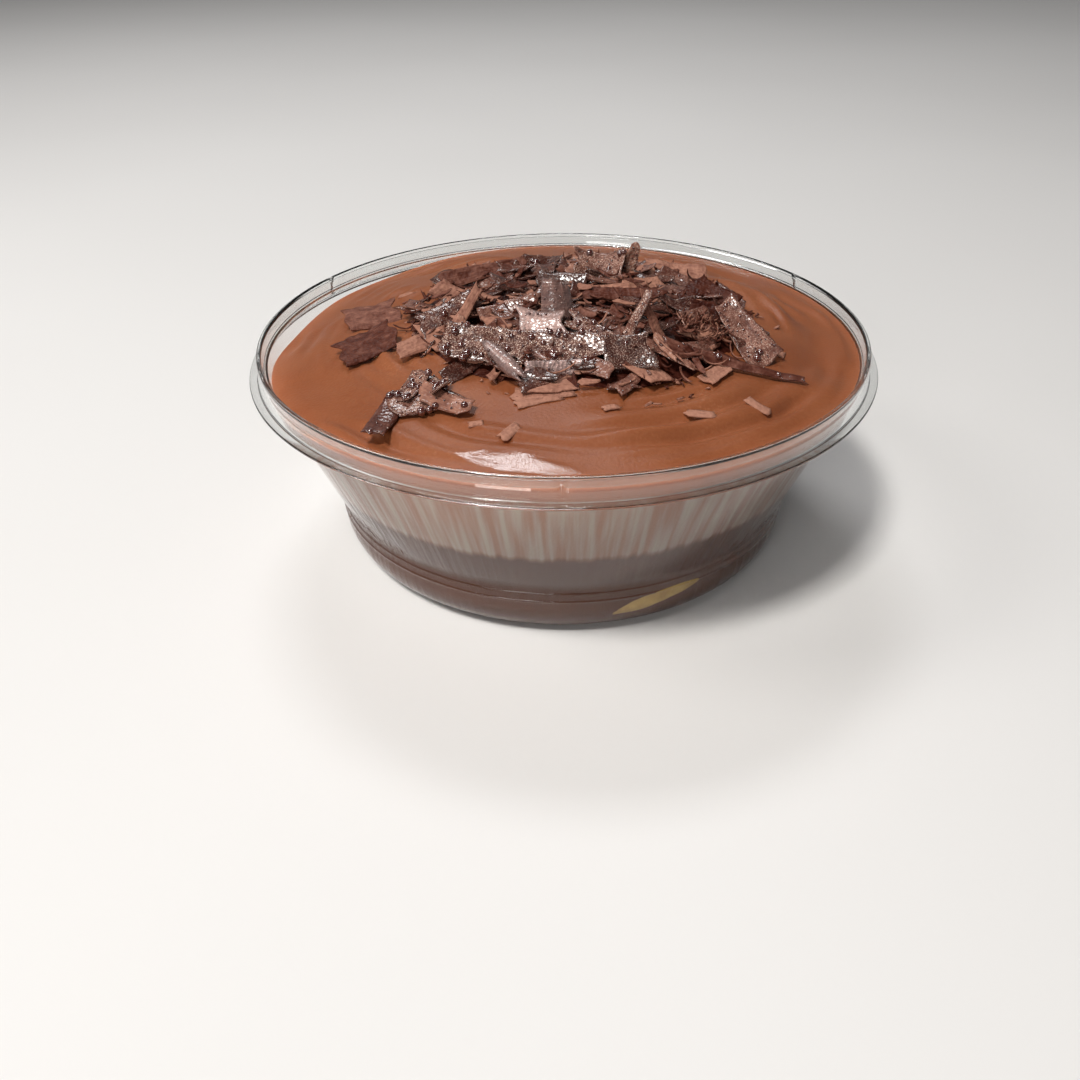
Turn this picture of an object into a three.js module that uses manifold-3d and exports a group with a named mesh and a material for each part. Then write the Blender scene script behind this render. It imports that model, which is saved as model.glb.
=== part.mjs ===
// A clear plastic bowl filled with chocolate mousse round choux buns, with a heap of dark chocolate
// shavings on top. Millimetres, +Z up, origin at the middle of the bowl's flat base.
import * as THREE from 'three';
import { mergeVertices } from 'three/addons/utils/BufferGeometryUtils.js';
import Module from 'manifold-3d';

const wasm = await Module();
wasm.setup();

// Fitting
const GAP = 0.3;
const WELD = 1e-4;
const SECTORS = 56;

// Bowl
const SHEET = 0.6;
const BASE_RADIUS = 52;
const CORNER_HEIGHT = 9;
const CORNER_STEPS = 5;
const LOW_WALL_RADIUS = 59.1;
const SHOULDER_Z = 14.7;
const SHOULDER_HEIGHT = 1.5;
const SHOULDER_OUT = 0.8;
const SHOULDER_FOOT_OUT = 0.3;
const FLANGE_Z = 46.7;
const FLANGE_RADIUS = 77.9;
const CONE_TOP_RADIUS = 73.2;
const LEDGE_Z = 49.7;
const LEDGE_RADIUS = 73.9;
const CROWN_Z = 53;
const CROWN_RADIUS = 75;
const CROWN_ROUND = [0.45, 0.6];
const CROWN_STEPS = 4;
const SKIRT_RADIUS = 75.8;
const FLANGE_ROUND = 0.2;
const FLANGE_FILLET = 0.3;
const LEDGE_STEP = [0.3, 0.5];
const LEDGE_DROP = 0.8;

// Rim lugs: short upright ribs on the outside of the rim
const LUG_COUNT = 3;
const LUG_FIRST_ANGLE = 30;
const LUG_SIZE = [1, 0.7, 4];
const LUG_Z = 49.6;

// Mousse
const EDGE_Z = 49;
const DOME_HEIGHT = 7.7;
const DOME_POWER = 2.2;
const DIP_DEPTH = 4.2;
const DIP_ANGLE = 172;
const DIP_SPREAD = 75;
const SCALLOP_DEPTH = 0.45;
const SCALLOP_COUNT = 9;
const DIP_POWER = 3;
const MARKS_END_POWER = 12;
const MOUSSE_RINGS = 13;
const RING_SPACING_POWER = 1.25;

// Spatula marks: arcs round the heap, with heights above (or below) the dome
const MARK_CENTRE = [6, 0];
const MARKS = [
  { radius: 50, from: -100, to: -35, height: 0.8, width: 2.6 },
  { radius: 57, from: -95, to: -25, height: 0.9, width: 2.8 },
  { radius: 63, from: -80, to: 5, height: 0.7, width: 2.6 },
  { radius: 50, from: -5, to: 50, height: 1.4, width: 4 },
  { radius: 58, from: -30, to: 60, height: -1.3, width: 5 },
  { radius: 62, from: 150, to: 225, height: 0.7, width: 6 },
  { radius: 66, from: 215, to: 265, height: 0.7, width: 4 },
];
const MARK_FADE = 16;

// Choux bun that shows low through the wall
const BUN_ANGLE = -65.3;
const BUN_RADII = [28, 16, 9.4];
const BUN_CENTRE_RADIUS = 42.5;
const BUN_Z = 9.3;
const BUN_TILT = 8;
const BUN_SIDES = [16, 16];

// Shavings
const THICK = 1;
const RAGGED = 0.28;
const SLANT = 0.3;
const BEND_ANGLE = 35;
const BEND_STEPS = [2, 8];
const HEAP_CENTRE = [5, -1];
const HEAP_RADII = [42, 39];
const CORE_HEIGHT = 4.5;
const CORE_POWER = 0.7;
const CORE_RINGS = 6;
const CORE_SECTORS = 26;
const CORE_SINK = 4;
const SPIRAL_TURN = 137.5;
const FILL_COUNT = 52;
const FILL_SEED = 11;
const FILL_LENGTH = [9, 17];
const FILL_WIDTH = [5, 9];
const FILL_CURL = [1, 40];
const FILL_SPIN = [-65, 65];
const FILL_PITCH = [-18, 20];
const FILL_ROLL = [-12, 42];
const FILL_LIFT = [0.2, 1.8];
const FILL_POINT = [0, 0.8];

// Large shavings of the heap: middle, lift over the heap's core, [spin, pitch, roll] in degrees,
// [length, width], the angle of the bend along the length, and how much the far end narrows
const LARGE = {
  standing_curl: { at: [-1.5, -21], lift: 5, turn: [0, 0, -106], size: [8.5, 16], curl: 105 },
  slab: { at: [-8.5, -29], lift: 2, turn: [-7, 0, 33], size: [38, 11], curl: 14, point: 0.15 },
  tube: { at: [-12.4, -36.2], lift: 5.8, turn: [-138, 0, 162], size: [8.5, 15], curl: 345 },
  stick: { at: [39.5, -29], lift: 2, turn: [-7, -13, 24], size: [34, 4.5], curl: 6, point: 0.6 },
  tile: { at: [15, -33], lift: 3.5, turn: [4, 3, 52], size: [11, 9], curl: 20 },
  sliver: { at: [16, -25], lift: 5, turn: [25, 58, 20], size: [16, 4], curl: 12, point: 0.4 },
  sliver_right: { at: [21, -23], lift: 4.5, turn: [155, 62, -20], size: [14, 3.5], curl: 8, point: 0.5 },
  saddle: { at: [10, 13], lift: 3.4, turn: [-10, 4, 38], size: [14, 10], curl: 95 },
  spike: { at: [17, 13], lift: 3.2, turn: [10, 74, 75], size: [14, 6], curl: 30, point: 0.5 },
  back_plate: { at: [-6, 20], lift: 1.2, turn: [12, -14, 44], size: [12, 9], curl: 18 },
  right_flake: { at: [37, 0], lift: 3, turn: [-28, -12, 38], size: [13, 10], curl: 16, point: 0.3 },
  dark_flap: { at: [36, -9], lift: 2.5, turn: [-8, -6, 62], size: [11, 6], curl: 12, point: 0.4 },
  wedge: { at: [43, -16], lift: 3, turn: [118, 26, -14], size: [21, 11], curl: 10, point: 0.45 },
  left_plate: { at: [-27, -10], lift: 3, turn: [38, 14, 30], size: [16, 8], curl: 12, point: 0.3 },
  tan_strip: { at: [-22.5, -12], lift: 4.2, turn: [66, 25, 28], size: [13, 3.5], curl: 10, point: 0.3 },
  left_sliver: { at: [-33, -19], lift: 2.2, turn: [32, 8, 30], size: [12, 5], curl: 8 },
  ridge: { at: [-20, 17], lift: 3.2, turn: [16, 8, 46], size: [22, 6], curl: 8, point: 0.5 },
  spindle: { at: [7, -26], lift: 4, turn: [-38, -8, 40], size: [17, 5], curl: 10, point: 0.6 },
  mid_strip: { at: [15, -3], lift: 2, turn: [3, 0, 22], size: [21, 5], curl: 8, point: 0.3 },
  rear_leaf: { at: [30, 20], lift: 2.4, turn: [-8, -4, 16], size: [17, 9], curl: 10 },
  under_curl: { at: [-2, -36], lift: 1.6, turn: [4, 0, 60], size: [13, 4], curl: 30 },
  front_leaf: { at: [-3, -39.5], lift: 0.9, turn: [8, 0, 8], size: [13, 8], curl: 8 },
  tan_front: { at: [34.5, -33], lift: 1, turn: [48, 4, 14], size: [8.5, 4.5], curl: 8, point: 0.2 },
};

// Small heap at the front left, and the shavings that lie alone on the mousse
const FRONT_PIECES = [
  { at: [-30, -44], lift: 1.2, turn: [20, 6, 16], size: [15, 9], curl: 20 },
  { at: [-25, -46], lift: 1.6, turn: [-30, -8, 20], size: [12, 6], curl: 30 },
  { at: [-33, -40.5], lift: 2, turn: [65, 14, -12], size: [11, 6], curl: 40 },
  { at: [-27.5, -41], lift: 2.4, turn: [-60, 12, 20], size: [9, 5], curl: 60 },
  { at: [-38, -50], lift: 1.3, turn: [77, 4, 6], size: [15, 5.5], curl: 22 },
];
const LOOSE = {
  flake_left: { at: [-47, -14.5], lift: 1.8, turn: [32, 12, 5], size: [14.5, 13], curl: 22 },
  flake_left_rear: { at: [-49, 6], lift: 1.5, turn: [20, 4, 8], size: [14, 12], curl: 14 },
};

// Crumbs fused to the mousse, in front of the heap and beside it
const CRUMB_THICK = 1.2;
const CRUMB_CURL = 5;
const CRUMBS = [
  { at: [-10.8, -55.9], turn: [55, 0, 0], size: [6, 3], curl: CRUMB_CURL },
  { at: [10.3, -48.5], turn: [20, 0, 0], size: [3.5, 2.5], curl: CRUMB_CURL },
  { at: [29.4, -49], turn: [-10, 0, 0], size: [6, 3], curl: CRUMB_CURL },
  { at: [42.5, -44.5], turn: [-40, 0, 0], size: [6, 3], curl: CRUMB_CURL },
  { at: [-18, -52.5], turn: [10, 0, 0], size: [3, 2], curl: CRUMB_CURL },
  { at: [52, -18], turn: [70, 0, 0], size: [3, 2], curl: CRUMB_CURL },
  { at: [-42, 22], turn: [30, 0, 0], size: [4, 2.5], curl: CRUMB_CURL },
  { at: [-25, 43], turn: [-15, 0, 0], size: [4, 3], curl: CRUMB_CURL },
  { at: [33, 40], turn: [15, 0, 0], size: [5, 3], curl: CRUMB_CURL },
  { at: [8, 48], turn: [0, 0, 0], size: [4, 3], curl: CRUMB_CURL },
];

const COLOURS = { plastic: 0xdfe3e2, mousse: 0x965b3f, choux: 0xd9b45a, dark: 0x4a2a22, milk: 0x6d4435 };

const radians = THREE.MathUtils.degToRad;

function smooth(value) {
  const t = THREE.MathUtils.clamp(value, 0, 1);
  return t * t * (3 - 2 * t);
}

// Signed difference of two angles in degrees, from -180 to 180
function turnBetween(a, b) {
  return THREE.MathUtils.euclideanModulo(a - b + 180, 360) - 180;
}

// Seeded random numbers from 0 to 1
function seededRandom(seed) {
  let state = seed >>> 0;
  return () => {
    state = (state + 0x6d2b79f5) >>> 0;
    let mixed = Math.imul(state ^ (state >>> 15), state | 1);
    mixed ^= mixed + Math.imul(mixed ^ (mixed >>> 7), mixed | 61);
    return ((mixed ^ (mixed >>> 14)) >>> 0) / 4294967296;
  };
}

function signedVolume(points, triangles) {
  const corner = [new THREE.Vector3(), new THREE.Vector3(), new THREE.Vector3()];
  let sum = 0;
  for (let i = 0; i < triangles.length; i += 3) {
    corner.forEach((vector, k) => vector.fromArray(points, 3 * triangles[i + k]));
    sum += corner[0].dot(corner[1].cross(corner[2]));
  }
  return sum / 6;
}

// Closed solid of a geometry: corners welded, slivers dropped, faces turned outwards
function toSolid(geometry) {
  const bare = geometry.clone();
  bare.deleteAttribute('normal');
  bare.deleteAttribute('uv');
  const welded = mergeVertices(bare, WELD);
  const index = welded.getIndex().array;
  const triangles = [];
  for (let i = 0; i < index.length; i += 3) {
    const [a, b, c] = index.slice(i, i + 3);
    if (a !== b && b !== c && c !== a) {
      triangles.push(a, b, c);
    }
  }
  const points = welded.getAttribute('position').array;
  if (signedVolume(points, triangles) < 0) {
    triangles.reverse();
  }
  const mesh = new wasm.Mesh({
    numProp: 3,
    vertProperties: new Float32Array(points),
    triVerts: new Uint32Array(triangles),
  });
  return new wasm.Manifold(mesh);
}

function toGeometry(solid) {
  const mesh = solid.getMesh();
  const geometry = new THREE.BufferGeometry();
  geometry.setAttribute('position', new THREE.BufferAttribute(mesh.vertProperties, 3));
  geometry.setIndex(new THREE.BufferAttribute(mesh.triVerts, 1));
  geometry.computeVertexNormals();
  return geometry;
}

function largestPiece(solid) {
  return solid.decompose().reduce((best, piece) => (piece.volume() > best.volume() ? piece : best));
}

// Revolves [radius, height] points about the Z axis
function revolve(profile, sectors = SECTORS) {
  const points = profile.map(([radius, height]) => new THREE.Vector2(radius, height));
  return new THREE.LatheGeometry(points, sectors).rotateX(Math.PI / 2);
}

function arc(centre, radii, from, to, steps) {
  return Array.from({ length: steps + 1 }, (_, i) => {
    const angle = radians(from + ((to - from) * i) / steps);
    return [centre[0] + radii[0] * Math.cos(angle), centre[1] + radii[1] * Math.sin(angle)];
  });
}

// Wall from the base to the top of the cone, set in from the outside by the given distance
function wallProfile(inset) {
  const corner = [LOW_WALL_RADIUS - BASE_RADIUS - inset, CORNER_HEIGHT - inset];
  const shoulder = LOW_WALL_RADIUS + SHOULDER_FOOT_OUT;
  return [
    ...arc([BASE_RADIUS, CORNER_HEIGHT], corner, -90, 0, CORNER_STEPS),
    [shoulder - inset, SHOULDER_Z],
    [shoulder + SHOULDER_OUT - inset, SHOULDER_Z + SHOULDER_HEIGHT],
    [CONE_TOP_RADIUS - inset, FLANGE_Z],
  ];
}

// Radius of the bowl's inside on the cone
function coneInside(height) {
  const foot = LOW_WALL_RADIUS + SHOULDER_FOOT_OUT + SHOULDER_OUT;
  const slope = (CONE_TOP_RADIUS - foot) / (FLANGE_Z - SHOULDER_Z - SHOULDER_HEIGHT);
  return CONE_TOP_RADIUS - SHEET + slope * (height - FLANGE_Z);
}

function rimProfile() {
  return [
    [FLANGE_RADIUS - FLANGE_ROUND, FLANGE_Z],
    [FLANGE_RADIUS, FLANGE_Z + SHEET / 2],
    [FLANGE_RADIUS - FLANGE_ROUND, FLANGE_Z + SHEET],
    [SKIRT_RADIUS, FLANGE_Z + SHEET + FLANGE_FILLET],
    ...arc([CROWN_RADIUS, CROWN_Z - CROWN_ROUND[1]], CROWN_ROUND, 0, 180, CROWN_STEPS),
    [LEDGE_RADIUS, LEDGE_Z + LEDGE_STEP[1]],
    [LEDGE_RADIUS - LEDGE_STEP[0], LEDGE_Z],
    [coneInside(LEDGE_Z - LEDGE_DROP), LEDGE_Z - LEDGE_DROP],
  ];
}

function rimLugs() {
  return Array.from({ length: LUG_COUNT }, (_, i) => {
    const lug = new THREE.BoxGeometry(...LUG_SIZE);
    const angle = radians(LUG_FIRST_ANGLE + (360 * i) / LUG_COUNT);
    lug.translate(SKIRT_RADIUS, 0, LUG_Z).rotateZ(angle);
    return toSolid(lug);
  });
}

function bowlSolid() {
  const outside = [[0, 0], ...wallProfile(0), ...rimProfile()];
  const inside = wallProfile(SHEET).reverse();
  const bowl = toSolid(revolve([...outside, ...inside.slice(1), [0, SHEET]]));
  return rimLugs().reduce((whole, lug) => whole.add(lug), bowl);
}

// How far the mousse's edge dips at the left, from 0 to 1, by the angle round the bowl
function dipShare(angle) {
  return smooth(1 - Math.abs(turnBetween(angle, DIP_ANGLE)) / DIP_SPREAD);
}

function edgeDip(angle) {
  const scallop = SCALLOP_DEPTH * Math.sin(radians(SCALLOP_COUNT * angle));
  return (DIP_DEPTH + scallop) * dipShare(angle);
}

function spatulaMarks(x, y) {
  const dx = x - MARK_CENTRE[0];
  const dy = y - MARK_CENTRE[1];
  const distance = Math.hypot(dx, dy);
  const angle = THREE.MathUtils.radToDeg(Math.atan2(dy, dx));
  let height = 0;
  for (const mark of MARKS) {
    const middle = (mark.from + mark.to) / 2;
    const reach = (mark.to - mark.from) / 2;
    const along = smooth((reach - Math.abs(turnBetween(angle, middle))) / MARK_FADE);
    const across = Math.exp(-(((distance - mark.radius) / mark.width) ** 2));
    height += mark.height * along * across;
  }
  return height;
}

// Top of the mousse without its crumbs
function mousseTop(x, y) {
  const distance = Math.hypot(x, y);
  const angle = THREE.MathUtils.radToDeg(Math.atan2(y, x));
  const share = Math.min(distance / coneInside(EDGE_Z), 1);
  const dome = DOME_HEIGHT * (1 - share ** DOME_POWER);
  const marks = spatulaMarks(x, y) * (1 - share ** MARKS_END_POWER);
  return EDGE_Z + dome + marks - edgeDip(angle) * share ** DIP_POWER;
}

// Mousse that fills the bowl: a revolved body whose upper rows follow the top
function mousseBody() {
  const wall = wallProfile(SHEET + GAP).slice(0, -1);
  const shares = Array.from({ length: MOUSSE_RINGS + 1 }, (_, i) => i / MOUSSE_RINGS);
  const edge = coneInside(EDGE_Z) - GAP;
  const top = shares.map((share) => [edge * (1 - share ** RING_SPACING_POWER), EDGE_Z]);
  const profile = [[0, SHEET + GAP], ...wall, ...top];
  const geometry = revolve(profile);
  const position = geometry.getAttribute('position');
  for (let i = 0; i < position.count; i++) {
    const row = i % profile.length;
    if (row > wall.length) {
      liftToTop(position, i, edge);
    }
  }
  return toSolid(geometry);
}

// Moves one point of the body's upper rows to the top, drawn in where the edge lies lower on the cone
function liftToTop(position, i, edge) {
  const x = position.getX(i);
  const y = position.getY(i);
  const angle = THREE.MathUtils.radToDeg(Math.atan2(y, x));
  const level = EDGE_Z - edgeDip(angle);
  const shrink = (coneInside(level) - GAP) / edge;
  position.setXYZ(i, x * shrink, y * shrink, mousseTop(x * shrink, y * shrink));
}

// Choux bun before the wall flattens it, grown on all sides by the given distance
function bunBall(grow) {
  const ball = new THREE.SphereGeometry(1, ...BUN_SIDES);
  ball.scale(...BUN_RADII.map((radius) => radius + grow));
  ball.rotateY(radians(-BUN_TILT));
  ball.rotateZ(radians(BUN_ANGLE + 90));
  const angle = radians(BUN_ANGLE);
  ball.translate(BUN_CENTRE_RADIUS * Math.cos(angle), BUN_CENTRE_RADIUS * Math.sin(angle), BUN_Z);
  return toSolid(ball);
}

// One shaving: a plate with ragged edges, narrower at its far end by the point's share, and bent
// along its length by the curl angle
function shaving({ size, curl, point = 0, thick = THICK }, random) {
  const [length, width] = size;
  const steps = THREE.MathUtils.clamp(Math.ceil(curl / BEND_ANGLE), ...BEND_STEPS);
  const plate = new THREE.BoxGeometry(length, width, thick, steps, 1, 1);
  const position = plate.getAttribute('position');
  const near = Array.from({ length: steps + 1 }, () => 1 - RAGGED * random());
  const far = Array.from({ length: steps + 1 }, () => 1 - RAGGED * random());
  const slant = SLANT * (random() - 0.5);
  const bend = radians(curl) / length;
  for (let i = 0; i < position.count; i++) {
    const x = position.getX(i);
    const y = position.getY(i);
    const z = position.getZ(i);
    const column = Math.round((x / length + 0.5) * steps);
    const narrowed = y * (1 - point * (x / length + 0.5));
    const across = narrowed * (y < 0 ? near[column] : far[column]);
    const along = x + slant * across;
    const turn = along * bend;
    const radius = 1 / bend - z;
    position.setXYZ(i, radius * Math.sin(turn), across, 1 / bend - radius * Math.cos(turn));
  }
  return plate;
}

function placed(geometry, { at, turn }, height) {
  const [spin, pitch, roll] = turn.map(radians);
  const matrix = new THREE.Matrix4().makeRotationFromEuler(new THREE.Euler(roll, -pitch, spin, 'ZYX'));
  matrix.setPosition(at[0], at[1], height);
  return geometry.applyMatrix4(matrix);
}

// Height of the heap's core over the mousse
function coreHeight(x, y) {
  const share = Math.hypot((x - HEAP_CENTRE[0]) / HEAP_RADII[0], (y - HEAP_CENTRE[1]) / HEAP_RADII[1]);
  return CORE_HEIGHT * Math.max(1 - share ** 2, 0) ** CORE_POWER;
}

function heapTop(x, y) {
  return mousseTop(x, y) + coreHeight(x, y);
}

// Core of the heap, sunk into the mousse that later cuts it
function heapCore() {
  const shares = Array.from({ length: CORE_RINGS + 1 }, (_, i) => 1 - i / CORE_RINGS);
  const profile = [[0, 0], ...shares.map((share) => [share, 1])];
  const core = revolve(profile, CORE_SECTORS);
  const position = core.getAttribute('position');
  for (let i = 0; i < position.count; i++) {
    const x = HEAP_CENTRE[0] + HEAP_RADII[0] * position.getX(i);
    const y = HEAP_CENTRE[1] + HEAP_RADII[1] * position.getY(i);
    const sunk = position.getZ(i) < 0.5;
    position.setXYZ(i, x, y, sunk ? EDGE_Z - CORE_SINK : heapTop(x, y));
  }
  return toSolid(core);
}

// Shavings spread evenly over the core on a spiral, with seeded sizes and turns
function fillPieces() {
  const random = seededRandom(FILL_SEED);
  const between = ([low, high]) => low + (high - low) * random();
  return Array.from({ length: FILL_COUNT }, (_, i) => {
    const share = Math.sqrt((i + 0.5) / FILL_COUNT);
    const angle = radians(SPIRAL_TURN * i);
    return {
      at: [
        HEAP_CENTRE[0] + HEAP_RADII[0] * share * Math.cos(angle),
        HEAP_CENTRE[1] + HEAP_RADII[1] * share * Math.sin(angle),
      ],
      lift: between(FILL_LIFT),
      turn: [between(FILL_SPIN), between(FILL_PITCH), between(FILL_ROLL)],
      size: [between(FILL_LENGTH), between(FILL_WIDTH)],
      curl: between(FILL_CURL),
      point: between(FILL_POINT),
    };
  });
}

function pieceSolid(piece, random) {
  const height = heapTop(...piece.at) + piece.lift;
  return toSolid(placed(shaving(piece, random), piece, height));
}

// Heap of shavings, without those that would cross the given solids
function heapSolid(kept) {
  const random = seededRandom(FILL_SEED + 1);
  const pieces = [...Object.values(LARGE), ...fillPieces()].map((piece) => pieceSolid(piece, random));
  const free = pieces.filter((piece) => kept.every((solid) => solid.intersect(piece).isEmpty()));
  return free.reduce((whole, piece) => whole.add(piece), heapCore());
}

function frontHeapSolid() {
  const random = seededRandom(FILL_SEED + 2);
  const pieces = FRONT_PIECES.map((piece) => pieceSolid(piece, random));
  return pieces.reduce((whole, piece) => whole.add(piece));
}

// Shavings that lie alone, grown on all sides by the given distance
function loosePieces(grow) {
  const random = seededRandom(FILL_SEED + 4);
  return Object.values(LOOSE).map((piece) => {
    const size = piece.size.map((side) => side + 2 * grow);
    return pieceSolid({ ...piece, size, thick: THICK + 2 * grow }, random);
  });
}

function crumbSolids() {
  const random = seededRandom(FILL_SEED + 3);
  return CRUMBS.map((crumb) => {
    const plate = shaving({ ...crumb, thick: CRUMB_THICK }, random);
    return toSolid(placed(plate, crumb, mousseTop(...crumb.at)));
  });
}

// Bowl, bun and mousse
const bowl = bowlSolid();
const bowlRoom = toSolid(revolve([[0, SHEET + GAP], ...wallProfile(SHEET + GAP), [0, FLANGE_Z]]));
const bun = bunBall(0).intersect(bowlRoom);
const bareMousse = mousseBody().subtract(bunBall(GAP));
const mousse = crumbSolids().reduce((whole, crumb) => whole.add(crumb), bareMousse);

// Shavings, cut where they would sink into the mousse
const floor = mousse.translate([0, 0, GAP]);
const loose = loosePieces(0).map((piece) => largestPiece(piece.subtract(floor)));
const frontHeap = largestPiece(frontHeapSolid().subtract(floor));
const heap = largestPiece(heapSolid([...loosePieces(GAP), frontHeap]).subtract(floor));

function addMesh(group, name, solid, material) {
  const mesh = new THREE.Mesh(toGeometry(solid), new THREE.MeshStandardMaterial(material));
  mesh.name = name;
  group.add(mesh);
}

const dessert = new THREE.Group();
addMesh(dessert, 'cup', bowl, { color: COLOURS.plastic, roughness: 0.08, transparent: true, opacity: 0.35 });
addMesh(dessert, 'mousse', mousse, { color: COLOURS.mousse, roughness: 0.4 });
addMesh(dessert, 'choux_bun', bun, { color: COLOURS.choux, roughness: 0.75 });
addMesh(dessert, 'shavings', heap, { color: COLOURS.dark, roughness: 0.4 });
addMesh(dessert, 'shavings_front', frontHeap, { color: COLOURS.dark, roughness: 0.4 });
Object.keys(LOOSE).forEach((name, i) => {
  addMesh(dessert, name, loose[i], { color: COLOURS.milk, roughness: 0.45 });
});

export default dessert;
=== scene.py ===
"""Looks of a clear bowl of chocolate mousse with a heap of dark chocolate shavings on top."""
import math

import bmesh
import bpy
import numpy as np
from mathutils import Matrix, Vector


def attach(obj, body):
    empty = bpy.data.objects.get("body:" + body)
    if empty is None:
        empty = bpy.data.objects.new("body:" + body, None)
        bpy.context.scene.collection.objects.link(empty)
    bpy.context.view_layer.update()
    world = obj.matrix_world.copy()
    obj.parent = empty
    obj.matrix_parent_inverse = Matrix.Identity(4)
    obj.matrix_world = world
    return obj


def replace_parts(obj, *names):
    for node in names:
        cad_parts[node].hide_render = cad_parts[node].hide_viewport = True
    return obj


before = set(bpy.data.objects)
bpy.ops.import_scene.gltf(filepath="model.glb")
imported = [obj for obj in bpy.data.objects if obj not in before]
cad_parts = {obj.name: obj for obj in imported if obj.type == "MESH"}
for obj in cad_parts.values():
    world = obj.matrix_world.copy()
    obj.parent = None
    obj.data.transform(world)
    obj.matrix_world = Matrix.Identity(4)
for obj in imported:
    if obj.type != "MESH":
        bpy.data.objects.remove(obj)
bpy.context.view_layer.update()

# Sizes are in millimetres and become metres where a mesh is made
MM = 0.001
BODY = "root"
# Spread of the waves in noise, as shares of their size
WAVE_SPREAD = (0.6, 1.7)

# Bowl
SHEET = 0.6
BASE_RADIUS = 52
CORNER_HEIGHT = 9
CORNER_STEPS = 18
LOW_WALL_RADIUS = 59.1
SHOULDER_Z = 14.7
SHOULDER_HEIGHT = 1.5
SHOULDER_OUT = 0.8
SHOULDER_FOOT_OUT = 0.3
FLANGE_Z = 46.7
FLANGE_RADIUS = 77.9
CONE_TOP_RADIUS = 73.2
LEDGE_Z = 49.7
LEDGE_RADIUS = 73.9
LEDGE_STEP = 0.4
CROWN_Z = 53
CROWN_RADIUS = 75
CROWN_HALF_WIDTH = 0.5
SKIRT_RADIUS = 75.8
RIM_SHEET = 0.55
BOWL_SECTORS = 288
FILLET_STEPS = 4
CONE_FOOT_RADIUS = LOW_WALL_RADIUS + SHOULDER_FOOT_OUT + SHOULDER_OUT
# Rings moulded into the lower wall: their heights, then depth and half width
MOULD_RING_HEIGHTS = (10.4, 12.6)
MOULD_RING = (0.22, 0.5)
MOULD_RING_STEPS = 8

# Rim lugs: angles, then depth, width and height
LUG_ANGLES = (30, 150, 270)
LUG_SIZE = (0.5, 0.7, 3.4)
LUG_Z = 49.8
LUG_EDGE = 0.3
LUG_FLANK = 1.6

# Mousse
INTO_WALL = 0.2
EDGE_Z = 49
DOME_HEIGHT = 7.7
DOME_POWER = 2.2
DIP_DEPTH = 4.2
DIP_ANGLE = 172
DIP_SPREAD = 75
DIP_POWER = 3
SCALLOP_DEPTH = 0.45
SCALLOP_COUNT = 9
MARK_CENTRE = (6, 0)
MARK_FADE = 16
MARKS_END_POWER = 12
# Spatula marks: radius, first and last angle, height and width
MARKS = (
    (50, -100, -35, 0.8, 2.6),
    (57, -95, -25, 0.9, 2.8),
    (63, -80, 5, 0.7, 2.6),
    (50, -5, 50, 1.4, 4),
    (58, -30, 60, -1.3, 5),
    (62, 150, 225, 0.7, 6),
    (66, 215, 265, 0.7, 4),
)
# Finer marks between them
FINE_MARKS = (
    (44.5, -85, -45, 0.4, 1.2),
    (47, -92, -45, -0.6, 1.5),
    (53.5, -90, -33, -0.8, 1.6),
    (57, -85, -40, 0.4, 1.4),
    (60.5, -88, -30, -0.8, 1.6),
    (65, -75, -30, 0.3, 1.0),
    (49.5, -8, 18, -1.0, 1.2),
    (53, 0, 45, 0.4, 1.3),
    (64, -20, 35, 0.35, 1.2),
    (52, 165, 220, 0.4, 1.7),
    (58, 170, 240, -0.4, 1.6),
    (66, 160, 205, 0.35, 1.3),
    (61, 232, 264, -0.35, 1.4),
)
MOUSSE_SECTORS = 320
MOUSSE_RINGS = 130
RING_SPACING_POWER = 1.2
# Fine relief: slow sags, and patches of streaks that wander round the heap
RELIEF_SEED = 3
RELIEF_END_POWER = 30
SAG = 0.3
SAG_SIZE = 26
STREAK = 0.15
STREAK_COUNT = 5
STREAK_SIZES = (3.5, 8)
STREAK_PHASES = (0, 6)
STREAK_PARTS = (0.4, 1.0)
PATCH_SIZE = 34
PATCH_LEVEL = (0.2, 0.8)
WANDER = 0.8
WANDER_SIZE = 24
MENISCUS = 0.5
MENISCUS_REACH = 1.2
MENISCUS_FOOT = 0.8
# Wet film by the front edge: middle, turn, half length and half width
FILM_CENTRE = (-9, -65.4)
FILM_TURN = -14
FILM_SIZE = (14, 3.4)
FILM_CALM = 1.6

# Colours of the mousse: its surface, a painted reflection in pale upright streaks along the wall, and
# painted shade on the wall below them
MOUSSE_TONES = (
    (0.2, (0.235, 0.068, 0.025)),
    (0.65, (0.30, 0.098, 0.040)),
    (0.85, (0.40, 0.155, 0.075)),
)
WALL_PAINTED_REFLECTION = (0.41, 0.355, 0.30, 1)
WALL_PAINTED_SHADE = (0.06, 0.021, 0.012, 1)
# Heights in metres between which the painted reflection streaks on the wall fade out, at the flange
# and at their foot, where the painted shade below them starts
FLANGE_FADE = (0.043, 0.046)
REFLECTION_FOOT = (0.0245, 0.0265)
REFLECTION_RAGGED = 0.002
REFLECTION_SCALE = 30.0
PLASTIC_LINE_SCALE = 26.0
PLASTIC_COLOUR = (0.96, 0.975, 0.97, 1)

# Choux bun
BUN_ANGLE = -65.3
BUN_RADII = (28.5, 16.4, 9.9)
BUN_CENTRE_RADIUS = 42.5
BUN_Z = 9.3
BUN_TILT = 8
BUN_GRID = (240, 80)
BUN_SEED = 21
BUN_BUMP = 0.02
BUN_LUMP_SIZE = 0.6
BUN_LUMP_STRETCH = 3
BUN_INTO_WALL = 0.4
CHOUX_TONES = ((0.3, (0.34, 0.18, 0.035)), (0.7, (0.54, 0.36, 0.10)))

# Shavings
THICK = 0.8
RAGGED = 0.28
SLANT = 0.3
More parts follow.
